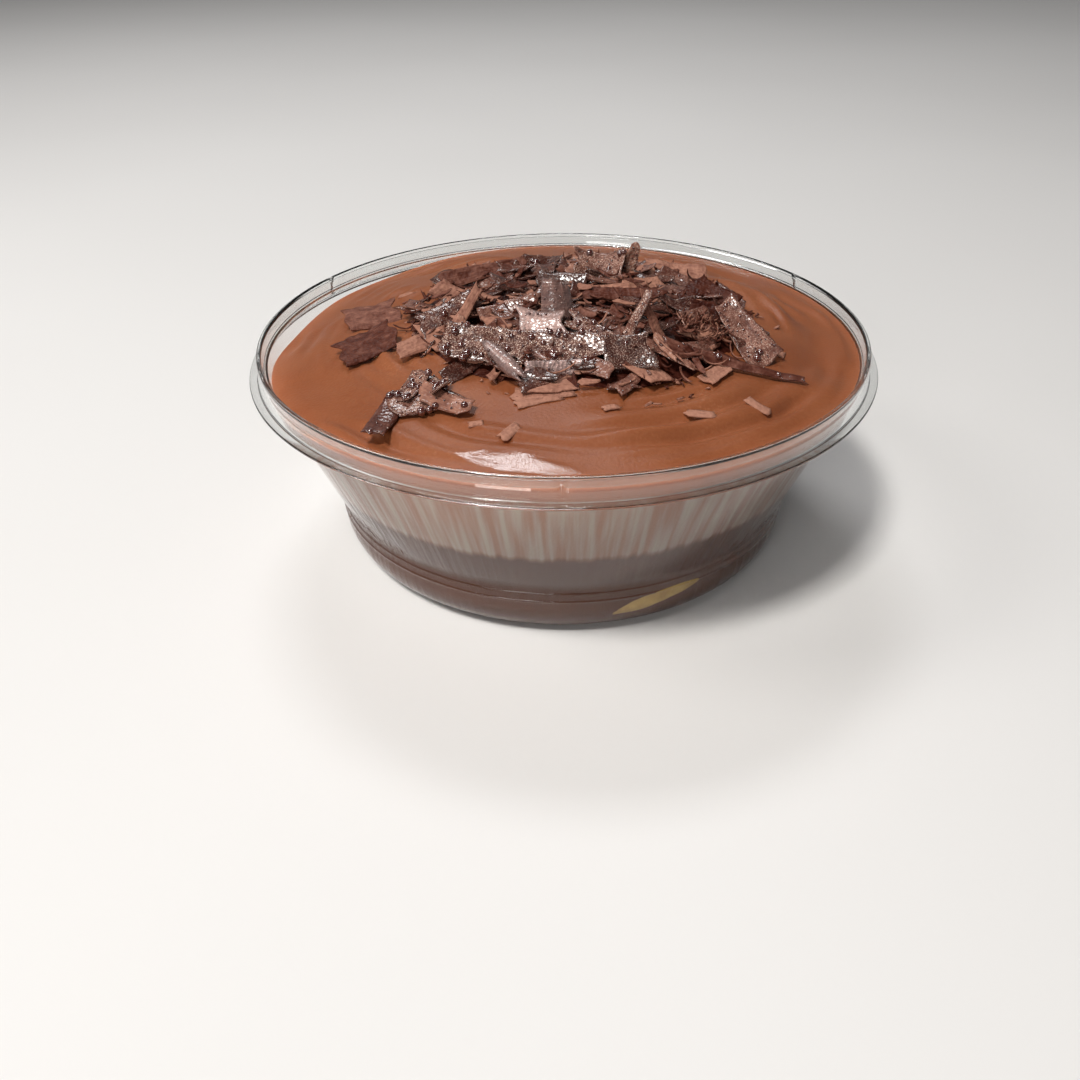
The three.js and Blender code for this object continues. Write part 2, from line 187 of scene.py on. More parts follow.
# Nicks along the sides, torn ends, ripples, hollow and thin rim of a shaving
NICK_SIZE = 2.2
NICK_DEPTH = 0.035
NICKS_APART = 50
END_RAGGED = (0.3, 0.05)
END_SIZE = 0.7
END_POWER = 3
ENDS_APART = 90
RIPPLE = (0.06, 0.006)
RIPPLE_SIZE = 7
HOLLOW = (-0.05, 0.08)
RIM_POWERS = (4, 8)
HALF_THICK = (0.15, 0.35)
SIDES_APART = 9
GRAIN_REACH = 500
# Bends of a shaving and the core of the heap
BEND_ANGLE = 35
BEND_STEPS = (2, 8)
HEAP_CENTRE = (5, -1)
HEAP_RADII = (42, 39)
CORE_HEIGHT = 4.5
CORE_POWER = 0.7
CORE_GRID = (120, 34)
CORE_BUMP = 0.7
CORE_SHARE = 0.65
CORE_SEED = 41
CORE_BUMP_SIZES = (7, 2.6)
CORE_FINE_SHARE = 0.5
CORE_EDGE_FADE = 8
CORE_SINK = 0.2
SPIRAL_TURN = 137.5
# Middle-sized shavings on the core
FILL_COUNT = 52
FILL_SEED = 11
FILL_TONE_SEED = 31
FILL_LENGTH = (9, 17)
FILL_WIDTH = (5, 9)
FILL_CURL = (1, 40)
FILL_SPIN = (-65, 65)
FILL_PITCH = (-18, 20)
FILL_ROLL = (-12, 42)
FILL_LIFT = (0.2, 1.8)
FILL_POINT = (0, 0.8)
# Seeds of the ragged edges
FLAKE_EDGE_SEED = FILL_SEED + 1
FRONT_EDGE_SEED = FILL_SEED + 2
CHIP_EDGE_SEED = FILL_SEED + 3
LOOSE_EDGE_SEED = FILL_SEED + 4
# Seeds of the scattered places and of the fine forms of each kind
SEEDS = {"scatter": 51, "flakes": 52, "medium": 53, "small": 54, "shreds": 55, "fine_beads": 56}
SEEDS |= {"front": 57, "loose": 58, "chips": 59, "crumbs": 60, "large_beads": 61}
# Steps along and across a shaving
LARGE_GRID = (40, 14)
FILL_GRID = (20, 8)
SMALL_GRID = (8, 4)
SHRED_GRID = (12, 2)
CRUMB_GRID = (3, 2)

# Places of the bend and the tone in a shaving's row
CURL_PLACE = 4
TONE_PLACE = 6
# Large shavings: middle, lift over the core, (spin, pitch, roll), (length, width),
# bend, narrowing and tone
# Some of the lighter tones, as of the saddle and the spike, are partly painted sheen
LARGE = {
    "standing_curl": ((-1.5, -21), 5, (0, 0, -106), (8.5, 16), 105, 0, 0.32),
    "slab": ((-8.5, -29), 2, (-7, 0, 33), (38, 11), 14, 0.15, 0.45),
    "tube": ((-12.4, -36.2), 5.8, (-138, 0, 162), (8.5, 15), 345, 0, 0.45),
    "stick": ((39.5, -29), 2, (-7, -13, 24), (34, 4.5), 6, 0.6, 0.35),
    "tile": ((15, -33), 3.5, (4, 3, 52), (11, 9), 20, 0, 0.15),
    "sliver": ((16, -25), 5, (25, 58, 20), (16, 4), 12, 0.4, 0.6),
    "sliver_right": ((21, -23), 4.5, (155, 62, -20), (14, 3.5), 8, 0.5, 0.7),
    "saddle": ((10, 13), 3.4, (-10, 4, 38), (14, 10), 95, 0, 0.65),
    "spike": ((17, 13), 3.2, (10, 74, 75), (14, 6), 30, 0.5, 0.9),
    "back_plate": ((-6, 20), 1.2, (12, -14, 44), (12, 9), 18, 0, 0.2),
    "right_flake": ((37, 0), 3, (-28, -12, 38), (13, 10), 16, 0.3, 0.1),
    "dark_flap": ((36, -9), 2.5, (-8, -6, 62), (11, 6), 12, 0.4, 0.05),
    "wedge": ((43, -16), 3, (118, 26, -14), (21, 11), 10, 0.45, 0.6),
    "left_plate": ((-27, -10), 3, (38, 14, 30), (16, 8), 12, 0.3, 0.3),
    "tan_strip": ((-22.5, -12), 4.2, (66, 25, 28), (13, 3.5), 10, 0.3, 0.8),
    "left_sliver": ((-33, -19), 2.2, (32, 8, 30), (12, 5), 8, 0, 0.85),
    "ridge": ((-20, 17), 3.2, (16, 8, 46), (22, 6), 8, 0.5, 0.4),
    "spindle": ((7, -26), 4, (-38, -8, 40), (17, 5), 10, 0.6, 0.5),
    "mid_strip": ((15, -3), 2, (3, 0, 22), (21, 5), 8, 0.3, 0.3),
    "rear_leaf": ((30, 20), 2.4, (-8, -4, 16), (17, 9), 10, 0, 0.85),
    "under_curl": ((-2, -36), 1.6, (4, 0, 60), (13, 4), 30, 0, 0.5),
    "front_leaf": ((-3, -39.5), 0.9, (8, 0, 8), (13, 8), 8, 0, 0.92),
    "tan_front": ((34.5, -33), 1, (48, 4, 14), (8.5, 4.5), 8, 0.2, 1.0),
}
# Small heap and strip at the front left
FRONT = (
    ((-30, -44), 1.2, (20, 6, 16), (15, 9), 20, 0, 0.65),
    ((-25, -46), 1.6, (-30, -8, 20), (12, 6), 30, 0, 0.8),
    ((-33, -40.5), 2, (65, 14, -12), (11, 6), 40, 0, 0.65),
    ((-27.5, -41), 2.4, (-60, 12, 20), (9, 5), 60, 0, 0.55),
    ((-38, -50), 1.3, (77, 4, 6), (15, 5.5), 22, 0, 0.3),
)
# Flap that flares out at the foot of the standing curl, its light tone and full wetness a painted
# sheen
FLARE = ((-4.8, -23.5), 4.2, (-8, 0, 41), (10, 8), 25, 0, 0.7)
# Flakes that lie alone at the left
LOOSE = {
    "flake_left": ((-47, -14.5), 1.8, (32, 12, 5), (14.5, 13), 22, 0, 0.3),
    "flake_left_rear": ((-49, 6), 1.5, (20, 4, 8), (14, 12), 14, 0, 0.55),
}
# Flat chips on the mousse: middle, spin and (length, width)
CHIPS = (
    ((-10.8, -55.9), 55, (6, 3)),
    ((10.3, -48.5), 20, (3.5, 2.5)),
    ((29.4, -49), -10, (6, 3)),
    ((42.5, -44.5), -40, (6, 3)),
    ((-18, -52.5), 10, (3, 2)),
    ((52, -18), 70, (3, 2)),
    ((-42, 22), 30, (4, 2.5)),
    ((-25, 43), -15, (4, 3)),
    ((33, 40), 15, (5, 3)),
    ((8, 48), 0, (4, 3)),
    ((-3.5, -42), 10, (14, 6)),
    ((-5, -45.2), 18, (11, 3)),
)
CHIP_TONE = 1.0
CHIP_CURL = 5
CHIP_LIFT = 0.2

# Smaller pieces of the heap: how many, how thick, and the spans of length, width, bend and lift
MEDIUM = (110, 0.6, (5, 11), (2.5, 6), (1, 45), (0.3, 2.4))
SMALL = (300, 0.5, (2.2, 6), (1, 3), (1, 60), (0.2, 2.8))
SHREDS = (90, 0.4, (4, 10), (0.4, 1.0), (10, 160), (0.6, 3.2))
WOOL = (60, 0.35, (3, 6), (0.35, 0.7), (90, 260), (1.2, 2.8))
WOOL_SPOT = ((33, -17), 5.5)
# How far they reach past the core, and how they lie on its slope: spans, or mean and spread
SCATTER_REACH = 1.03
SCATTER_SPIN = (-75, 75)
SCATTER_PITCH = (0, 11)
SCATTER_ROLL = (12, 16)
SCATTER_POINT = (0, 0.85)
SLOPE_STEP = 1.5
STEEPEST = 0.8
# Crumbs on the mousse round the heap
CRUMB_COUNT = 130
CRUMB_REACH = 0.22
CRUMB_POWER = 3
CRUMB_LENGTH = (0.6, 2.4)
CRUMB_WIDTH = (0.4, 1.4)
CRUMB_THICK = 0.5
CRUMB_TILT = (0, 14)
CRUMB_POINT = 0.4
CRUMB_TONES = (0.2, 1.0)
# Wet shavings: how wet they are, from dry over painted highlight specks to a painted satin sheen,
# with a glossier coat as well, and how many fine and large droplets lie on each
WET = {
    "slab": (0.8, 120, 30),
    "standing_curl": (0.86, 20, 0),
    "tube": (0.95, 10, 0),
    "spike": (0.8, 30, 5),
    "saddle": (0.8, 40, 4),
    "back_plate": (0.6, 30, 4),
    "left_plate": (0.65, 20, 1),
    "sliver": (0.8, 10, 0),
    "spindle": (0.75, 30, 5),
    "tile": (0.68, 20, 0),
    "stick": (0.4, 15, 2),
    "wedge": (0.7, 60, 3),
    "under_curl": (1.0, 10, 0),
}
DRY = (0, 0, 0)
DAMP = 0.1
FLARE_WET = (1.0, 10, 0)
FILL_WET = (0.6, 6, 0)
MEDIUM_WET = (0.57, 2, 0)
FRONT_WET = ((0.8, 60, 12), (0.5, 15, 2), (0.8, 50, 8), (0.8, 30, 5), (0.5, 10, 1))
WET_TONE = 0.75
ROLLED_CURL = 100
# Tones are drawn from this span, more often from its dark end
TONES = (0.05, 1.0)
TONE_POWER = 1.5
# Droplets: radii, steps from pole to pole and round, and tones
FINE_RADII = (0.15, 0.42)
LARGE_RADII = (0.6, 1.05)
FINE_BEAD = (4, 5)
LARGE_BEAD = (9, 14)
# Share of fine droplets drawn pale as painted highlights, and the tones of the pale and the dark
# droplets
FINE_PALE_SHARE = 0.2
PALE_BEADS = (0.4, 0.8)
DARK_BEADS = (0.0, 0.25)
BEAD_RISE = 0.1
BEAD_POWER = 2
# Painted highlights on wet chocolate: the colour of its specks of light, and the pale colour of its
# painted satin sheen
PAINTED_GLINT_COLOUR = (0.78, 0.56, 0.45, 1)
PAINTED_SHEEN_COLOUR = (0.50, 0.38, 0.36, 1)
# Colours of droplets from dark to bright, the bright end a painted highlight of caught light
DROPLET_TONES = (
    (0.0, (0.060, 0.008, 0.006)),
    (0.3, (0.14, 0.040, 0.028)),
    (0.7, (0.42, 0.27, 0.21)),
    (1.0, (0.80, 0.68, 0.61)),
)

# Colours of chocolate from wet and dark to dry and pale
CHOCOLATE_TONES = (
    (0.0, (0.044, 0.0092, 0.0055)),
    (0.35, (0.108, 0.033, 0.021)),
    (0.65, (0.225, 0.092, 0.064)),
    (1.0, (0.43, 0.205, 0.14)),
)

# Pale floor, just below the base
FLOOR_HALF = 4000.0
FLOOR_Z = -0.2
FLOOR_TONES = ((0.3, (0.82, 0.805, 0.79)), (0.7, (0.86, 0.845, 0.83)))

# Soft lights: place and size in metres, power and colour
LIGHTS = {
    "key": ((-0.35, -0.45, 1.1), (0.2, 0.2), 10.0, (1.0, 0.98, 0.95)),
    "side": ((-0.85, -0.05, 0.8), (0.35, 0.35), 2.6, (1.0, 0.98, 0.95)),
    "window": ((-0.14, 0.72, 1.08), (0.4, 0.22), 4.0, (0.97, 0.98, 1.0)),
    "front": ((-0.4, -1.1, 0.5), (0.4, 0.3), 3.0, (1.0, 0.98, 0.96)),
}
LIGHT_TARGET = (0, 0, 0.05)
# Brightness of the studio from the horizon up
STUDIO_WALLS = (
    (0.0, (0.26, 0.265, 0.27)),
    (0.12, (0.24, 0.245, 0.25)),
    (0.35, (0.06, 0.06, 0.06)),
    (1.0, (0.04, 0.04, 0.04)),
)

# Camera, fitted to the bowl's rings
CAMERA_PLACE = (0.0, -250.36, 155.22)
CAMERA_FORWARD = (-0.0209, 0.8316, -0.5550)
CAMERA_UP = (0.0006, 0.5551, 0.8318)
CAMERA_LENS = 35.0
CAMERA_SENSOR = 36.0
CAMERA_CLIP = 0.01


def smooth(value):
    t = np.clip(value, 0, 1)
    return t * t * (3 - 2 * t)


def turn_between(a, b):
    """Signed difference of two angles in degrees, from -180 to 180."""
    return (a - b + 180) % 360 - 180


def seeded_random(seed):
    """Seeded numbers from 0 to 1, the same that place the solids."""
    mask = 0xFFFFFFFF
    state = seed & mask

    def draw():
        nonlocal state
        state = (state + 0x6D2B79F5) & mask
        mixed = ((state ^ (state >> 15)) * (state | 1)) & mask
        mixed ^= (mixed + (((mixed ^ (mixed >> 7)) * (mixed | 61)) & mask)) & mask
        return (mixed ^ (mixed >> 14)) / 2**32

    return draw


def wave_noise(rng, size, count=12):
    """Smooth noise of x and y, about -1 to 1, from seeded waves of about the given size."""
    angles = rng.uniform(0, 2 * math.pi, count)
    turns = 2 * math.pi / (size * rng.uniform(*WAVE_SPREAD, count))
    phases = rng.uniform(0, 2 * math.pi, count)

    def noise(x, y):
        total = 0
        for angle, turn, phase in zip(angles, turns, phases):
            total = total + np.sin((x * math.cos(angle) + y * math.sin(angle)) * turn + phase)
        return total / math.sqrt(count)

    return noise


# Meshes


def add_object(name, data):
    made = bpy.data.objects.new(name, data)
    bpy.context.scene.collection.objects.link(made)
    return made


def make_piece(name, points, faces, material, attributes=None):
    """Makes a smooth-shaded object of points in millimetres and lets it ride on the body."""
    mesh = bpy.data.meshes.new(name)
    mesh.from_pydata((np.asarray(points) * MM).tolist(), [], faces)
    for key, values in (attributes or {}).items():
        kind = "FLOAT" if values.ndim == 1 else "FLOAT_VECTOR"
        field = "value" if values.ndim == 1 else "vector"
        layer = mesh.attributes.new(key, kind, "POINT")
        layer.data.foreach_set(field, values.astype(np.float32).ravel())
    drop_spare_points(mesh)
    mesh.shade_smooth()
    mesh.materials.append(material)
    piece = add_object(name, mesh)
    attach(piece, BODY)
    return piece


def drop_spare_points(mesh):
    """Removes points that no face uses, as where a row closes on the axis."""
    work = bmesh.new()
    work.from_mesh(mesh)
    spare = [point for point in work.verts if not point.link_faces]
    bmesh.ops.delete(work, geom=spare, context="VERTS")
    work.to_mesh(mesh)
    work.free()


def grid_faces(row_count, sectors, first_closed=False, last_closed=False):
    """Faces of rows of points round an axis; a closed row stands for one point."""
    rows = [list(range(k * sectors, (k + 1) * sectors)) for k in range(row_count)]
    if first_closed:
        rows[0] = [rows[0][0]] * sectors
    if last_closed:
        rows[-1] = [rows[-1][0]] * sectors
    faces = []
    for low, high in zip(rows, rows[1:]):
        for i in range(sectors):
            j = (i + 1) % sectors
            faces.append(list(dict.fromkeys([low[i], low[j], high[j], high[i]])))
    return faces


def circle(sectors):
    return np.arange(sectors) * 2 * math.pi / sectors


def revolve(profile, angles):
    """Points and faces of (radius, height) rows that start and end on the axis, turned about Z."""
    rows = []
    for radius, z in profile:
        rows.append(np.stack([radius * np.cos(angles), radius * np.sin(angles), z + 0 * angles], 1))
    return np.concatenate(rows), grid_faces(len(profile), len(angles), True, True)


def fillet(before, corner, after, radius):
    """Points that round the corner between two straight stretches."""
    p0, p1, p2 = (np.array(p, float) for p in (before, corner, after))
    a = (p0 - p1) / np.linalg.norm(p0 - p1)
    b = (p2 - p1) / np.linalg.norm(p2 - p1)
    reach = radius / math.tan(math.acos(np.clip(a @ b, -1, 1)) / 2)
    start, end = p1 + a * reach, p1 + b * reach
    shares = np.linspace(0, 1, FILLET_STEPS + 1)
    return [tuple((1 - t) ** 2 * start + 2 * t * (1 - t) * p1 + t * t * end) for t in shares]


def rounded(corners):
    """Outline of (radius, height, rounding) corners, each rounded off where it has a rounding."""
    points = [corner[:2] for corner in corners]
    result = [points[0]]
    for i in range(1, len(points) - 1):
        rounding = corners[i][2]
        if rounding:
            result += fillet(points[i - 1], points[i], points[i + 1], rounding)
        else:
            result.append(points[i])
    return result + [points[-1]]


# Bowl


def cone_inside(height):
    slope = (CONE_TOP_RADIUS - CONE_FOOT_RADIUS) / (FLANGE_Z - SHOULDER_Z - SHOULDER_HEIGHT)
    return CONE_TOP_RADIUS - SHEET + slope * (height - FLANGE_Z)


def wall_profile(inset, ringed=False):
    """Wall from the base to the shoulder's top, set in from the outside."""
    out = LOW_WALL_RADIUS - BASE_RADIUS - inset
    down = CORNER_HEIGHT - inset
    angles = np.radians(np.linspace(-90, 0, CORNER_STEPS + 1))
    corner = [(BASE_RADIUS + out * math.cos(a), CORNER_HEIGHT + down * math.sin(a)) for a in angles]
    rings = []
    for height in MOULD_RING_HEIGHTS if ringed else ():
        rings += mould_ring(height, LOW_WALL_RADIUS - inset)
    foot = LOW_WALL_RADIUS + SHOULDER_FOOT_OUT - inset
    upper = [(foot, SHOULDER_Z), (foot + SHOULDER_OUT, SHOULDER_Z + SHOULDER_HEIGHT)]
    return corner + rings + upper


def mould_ring(height, radius):
    """A low rounded ring that runs round the lower wall."""
    depth, half = MOULD_RING
    steps = np.linspace(-1, 1, MOULD_RING_STEPS + 1)
    return [(radius + depth * smooth(1 - abs(t)), height + half * t) for t in steps]


def rim_outline():
    """Folded rim: up the groove under the crown, round the flange, and in over the crown."""
    drop = LEDGE_Z - 2 * LEDGE_STEP
    ledge = LEDGE_RADIUS - 2 * LEDGE_STEP
    return rounded(
        [
            (CONE_FOOT_RADIUS, SHOULDER_Z + SHOULDER_HEIGHT, 0),
            (cone_inside(drop) + RIM_SHEET, drop, 0.3),
            (ledge + RIM_SHEET, LEDGE_Z, 0.2),
            (LEDGE_RADIUS + RIM_SHEET, LEDGE_Z + LEDGE_STEP, 0.2),
            (CROWN_RADIUS, CROWN_Z - RIM_SHEET, 0.1),
            (SKIRT_RADIUS - RIM_SHEET, FLANGE_Z, 0.3),
            (FLANGE_RADIUS, FLANGE_Z, 0.25),
            (FLANGE_RADIUS, FLANGE_Z + SHEET, 0.25),
            (SKIRT_RADIUS, FLANGE_Z + SHEET, 0.5),
            *lug_rows(),
            (CROWN_RADIUS + CROWN_HALF_WIDTH, CROWN_Z, 0.45),
            (CROWN_RADIUS - CROWN_HALF_WIDTH, CROWN_Z, 0.45),
            (LEDGE_RADIUS, LEDGE_Z + LEDGE_STEP, 0.35),
            (ledge, LEDGE_Z, 0.25),
            (cone_inside(drop), drop, 0.4),
            (CONE_FOOT_RADIUS - SHEET, SHOULDER_Z + SHOULDER_HEIGHT, 0),
        ]
    )


def lug_rows():
    """Corners on the skirt at the heights where the lugs start and end."""
    half = LUG_SIZE[2] / 2
    low = FLANGE_Z + SHEET
    lean = (CROWN_RADIUS + CROWN_HALF_WIDTH - SKIRT_RADIUS) / (CROWN_Z - low)
    heights = [LUG_Z + reach for reach in (-half, LUG_EDGE - half, half - LUG_EDGE, half)]
    return [(SKIRT_RADIUS + lean * (height - low), height, 0) for height in heights]


def bowl_angles():
    """Even angles round the bowl, with closer ones at the rim lugs."""
    edge = LUG_SIZE[1] / 2 / SKIRT_RADIUS
    steps = edge * np.array([-LUG_FLANK, -1, 1, LUG_FLANK])
    lugs = [math.radians(angle) + steps for angle in LUG_ANGLES]
    return np.sort(np.concatenate([circle(BOWL_SECTORS), *lugs]))


def raise_lugs(points):
    """Lifts the short upright ribs out of the skirt."""
    radius = np.hypot(points[:, 0], points[:, 1])
    angle = np.degrees(np.arctan2(points[:, 1], points[:, 0]))
    turn = np.min([np.abs(turn_between(angle, lug)) for lug in LUG_ANGLES], axis=0)
    aside = np.radians(turn) * SKIRT_RADIUS / (LUG_SIZE[1] / 2)
    across = np.clip((LUG_FLANK - aside) / (LUG_FLANK - 1), 0, 1)
    upright = np.clip((LUG_SIZE[2] / 2 - np.abs(points[:, 2] - LUG_Z)) / LUG_EDGE, 0, 1)
    outside = radius > SKIRT_RADIUS - RIM_SHEET / 2
    points[:, :2] *= (1 + LUG_SIZE[0] * across * upright * outside / np.maximum(radius, 1))[:, None]


def make_bowl(material):
    outside = [(0, 0)] + wall_profile(0, ringed=True)[:-1]
    inside = wall_profile(SHEET)[::-1]
    points, faces = revolve(outside + rim_outline() + inside[1:] + [(0, SHEET)], bowl_angles())
    raise_lugs(points)
    bowl = make_piece("bowl", points, faces, material)
    bowl.visible_shadow = False
    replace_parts(bowl, "cup")


# Mousse


def edge_dip(angle):
    share = smooth(1 - np.abs(turn_between(angle, DIP_ANGLE)) / DIP_SPREAD)
    return (DIP_DEPTH + SCALLOP_DEPTH * np.sin(np.radians(SCALLOP_COUNT * angle))) * share


def spatula_marks(x, y, marks):
    dx, dy = x - MARK_CENTRE[0], y - MARK_CENTRE[1]
    distance = np.hypot(dx, dy)
    angle = np.degrees(np.arctan2(dy, dx))
    height = 0
    for radius, first, last, rise, width in marks:
        turn = np.abs(turn_between(angle, (first + last) / 2))
        along = smooth(((last - first) / 2 - turn) / MARK_FADE)
        height = height + rise * along * np.exp(-(((distance - radius) / width) ** 2))
    return height


def edge_share(x, y):
    """A place's share of the way from the middle to the wall."""
    return np.minimum(np.hypot(x, y) / cone_inside(EDGE_Z), 1)


def edge_marks(x, y):
    """Spatula marks, which end at the wall."""
    return spatula_marks(x, y, MARKS) * (1 - edge_share(x, y) ** MARKS_END_POWER)


def mousse_top(x, y):
    share = edge_share(x, y)
    dome = DOME_HEIGHT * (1 - share**DOME_POWER)
    dip = edge_dip(np.degrees(np.arctan2(y, x))) * share**DIP_POWER
    return EDGE_Z + dome + edge_marks(x, y) - dip


def mousse_detail(rng):
    """Fine relief: slow sags, and thin streaks that follow the spatula round the heap."""
    slow, patches, wander = (wave_noise(rng, size) for size in (SAG_SIZE, PATCH_SIZE, WANDER_SIZE))
    waves = []
    for _ in range(STREAK_COUNT):
        waves.append([rng.uniform(*limits) for limits in (STREAK_SIZES, STREAK_PHASES, STREAK_PARTS)])

    def relief(x, y):
        distance = np.hypot(x - MARK_CENTRE[0], y - MARK_CENTRE[1]) + WANDER * wander(x, y)
        streaks = 0
        for size, phase, part in waves:
            streaks = streaks + part * np.sin(2 * math.pi * distance / size + phase)
        patch = smooth(PATCH_LEVEL[0] + PATCH_LEVEL[1] * patches(x, y))
        return SAG * slow(x, y) + STREAK * patch * streaks + spatula_marks(x, y, FINE_MARKS)

    return relief


def film_depth(x, y):
    """How far inside the wet film a place lies: above 0 inside it and below 0 outside."""
    angle = math.radians(FILM_TURN)
    dx, dy = x - FILM_CENTRE[0], y - FILM_CENTRE[1]
    along = (dx * math.cos(angle) + dy * math.sin(angle)) / FILM_SIZE[0]
    across = (dy * math.cos(angle) - dx * math.sin(angle)) / FILM_SIZE[1]
    return 1 - along**2 - np.abs(across)


def rim_inside(height):
    """Radius of the inside from the cone up to the ledge."""
    drop = LEDGE_Z - 2 * LEDGE_STEP
    ledge = LEDGE_RADIUS - 2 * LEDGE_STEP
    lean = (cone_inside(drop) - ledge) / (LEDGE_Z - drop)
    return np.where(height < drop, cone_inside(height), cone_inside(drop) - lean * (height - drop))


def make_mousse(material):
    angles = circle(MOUSSE_SECTORS)
    top = EDGE_Z - edge_dip(np.degrees(angles)) + MENISCUS
    edge = rim_inside(top) + INTO_WALL
    relief = mousse_detail(np.random.default_rng(RELIEF_SEED))
    rows = [(0 * angles, 0 * angles, 0 * angles + SHEET - INTO_WALL)]
    foot = [(cone_inside(top - MENISCUS_FOOT) + INTO_WALL, top - MENISCUS_FOOT)]
    for radius, height in wall_profile(SHEET - INTO_WALL) + foot:
        rows.append((radius * np.cos(angles), radius * np.sin(angles), 0 * angles + height))
    for share in 1 - np.linspace(0, 1, MOUSSE_RINGS + 1) ** RING_SPACING_POWER:
        x, y = edge * share * np.cos(angles), edge * share * np.sin(angles)
        meniscus = MENISCUS * np.exp(-edge * (1 - share) / MENISCUS_REACH)
        wet = smooth(FILM_CALM * film_depth(x, y))
        bare = mousse_top(x, y) - wet * edge_marks(x, y)
        rough = (1 - wet) * (1 - share**RELIEF_END_POWER)
        rows.append((x, y, bare + rough * relief(x, y) + meniscus))
    points = np.concatenate([np.stack(row, 1) for row in rows])
    faces = grid_faces(len(rows), MOUSSE_SECTORS, True, True)
    top_count = (MOUSSE_RINGS + 1) * MOUSSE_SECTORS
    wall = np.arange(len(points)) < len(points) - top_count
    attributes = {"film": film_depth(points[:, 0], points[:, 1]), "wall": wall.astype(float)}
    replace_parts(make_piece("mousse_fill", points, faces, material, attributes), "mousse")


# Choux bun


def wall_inside(height):
    """Radius of the bowl's inside at a height."""
    radii, heights = zip(*wall_profile(SHEET), (CONE_TOP_RADIUS - SHEET, FLANGE_Z))
    return np.interp(height, heights, radii)


def make_bun(material):
    around = circle(BUN_GRID[0])
    lumps = wave_noise(np.random.default_rng(BUN_SEED), BUN_LUMP_SIZE)
    tilt = Matrix.Rotation(math.radians(-BUN_TILT), 3, "Y")
    turn = np.array(Matrix.Rotation(math.radians(BUN_ANGLE + 90), 3, "Z") @ tilt)
    angle = math.radians(BUN_ANGLE)
    middle = (BUN_CENTRE_RADIUS * math.cos(angle), BUN_CENTRE_RADIUS * math.sin(angle), BUN_Z)
    rows = []
    for polar in np.linspace(math.pi, 0, BUN_GRID[1] + 1):
        ring = math.sin(polar)
        x, y = ring * np.cos(around), ring * np.sin(around)
        z = 0 * around + math.cos(polar)
        lump = BUN_BUMP * lumps(BUN_LUMP_STRETCH * x + z, BUN_LUMP_STRETCH * y - z)
        unit = np.stack([x, y, z], 1)
        rows.append((unit * (np.array(BUN_RADII) + lump[:, None])) @ turn.T + middle)
    points = np.concatenate(rows)
    points[:, 2] = np.maximum(points[:, 2], SHEET - BUN_INTO_WALL)
    radius = np.hypot(points[:, 0], points[:, 1])
    room = wall_inside(points[:, 2]) + BUN_INTO_WALL
    points[:, :2] *= np.minimum(1, room / radius)[:, None]
    faces = grid_faces(len(rows), BUN_GRID[0], True, True)
    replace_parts(make_piece("bun", points, faces, material), "choux_bun")


# Shavings


def core_height(x, y):
    share = np.hypot((x - HEAP_CENTRE[0]) / HEAP_RADII[0], (y - HEAP_CENTRE[1]) / HEAP_RADII[1])
    return CORE_HEIGHT * np.maximum(1 - share**2, 0) ** CORE_POWER


def heap_top(x, y):
    return mousse_top(x, y) + core_height(x, y)


def turn_matrix(spin, pitch, roll):
    turn = Matrix.Rotation(math.radians(spin), 3, "Z")
    turn = turn @ Matrix.Rotation(math.radians(-pitch), 3, "Y")
    return np.array(turn @ Matrix.Rotation(math.radians(roll), 3, "X"))


def on_heap(share, angle):
    """A place by its share of the way from the heap's middle to its edge."""
    return (
        HEAP_CENTRE[0] + HEAP_RADII[0] * share * math.cos(angle),
        HEAP_CENTRE[1] + HEAP_RADII[1] * share * math.sin(angle),
    )


def random_tone(rng):
    return TONES[0] + (TONES[1] - TONES[0]) * rng.random() ** TONE_POWER


def fill_pieces():
    """Middle-sized shavings, spread evenly over the core on a spiral."""
    draw = seeded_random(FILL_SEED)
    rng = np.random.default_rng(FILL_TONE_SEED)

    def between(span):
        return span[0] + (span[1] - span[0]) * draw()

    pieces = []
    for i in range(FILL_COUNT):
        at = on_heap(math.sqrt((i + 0.5) / FILL_COUNT), math.radians(SPIRAL_TURN * i))
        lift = between(FILL_LIFT)
        turn = (between(FILL_SPIN), between(FILL_PITCH), between(FILL_ROLL))
        size = (between(FILL_LENGTH), between(FILL_WIDTH))
        curl = between(FILL_CURL)
        pieces.append((at, lift, turn, size, curl, between(FILL_POINT), random_tone(rng)))
    return pieces


def edge_factors(curl, draw):
    """How ragged the two long edges of a shaving are, and the slant of its ends."""
    steps = min(max(math.ceil(curl / BEND_ANGLE), BEND_STEPS[0]), BEND_STEPS[1])
    near = [1 - RAGGED * draw() for _ in range(steps + 1)]
    far = [1 - RAGGED * draw() for _ in range(steps + 1)]
    return near, far, SLANT * (draw() - 0.5)


class Heap:
    """Collects shavings of one kind into one mesh."""

    def __init__(self, seed):
        self.points = []
        self.faces = []
        self.tones = []
        self.grain = []
        self.wetness = []
        self.count = 0
        self.rng = np.random.default_rng(seed)

    def add(self, piece, factors, grid, thick=THICK, height=None, base=None, wet=0.0):
        """Adds one shaving and returns its upper and lower points as grids."""
        at, lift, turn, size, curl, point, tone = piece
        height = heap_top(*at) + lift if height is None else height
        turn = turn_matrix(*turn) if base is None else base @ turn_matrix(*turn)
        local, grain = plate(size, curl, point, factors, grid, thick, self.rng)
        points = local.reshape(-1, 3) @ turn.T + (at[0], at[1], height)
        self.faces += plate_faces(grid, self.count)
        self.points.append(points)
        self.tones.append(np.full(len(points), tone))
        self.wetness.append(np.full(len(points), wet))
        self.grain.append(grain.reshape(-1, 3) + self.rng.uniform(0, GRAIN_REACH, 3))
        self.count += len(points)
        columns, rows = grid[0] + 1, grid[1] + 1
        return points.reshape(2, columns, rows, 3)

    def build(self, name, material):
        points = np.concatenate(self.points)
        attributes = {
            "tone": np.concatenate(self.tones),
            "grain": np.concatenate(self.grain),
            "wet": np.concatenate(self.wetness),
        }
        return make_piece(name, points, self.faces, material, attributes)


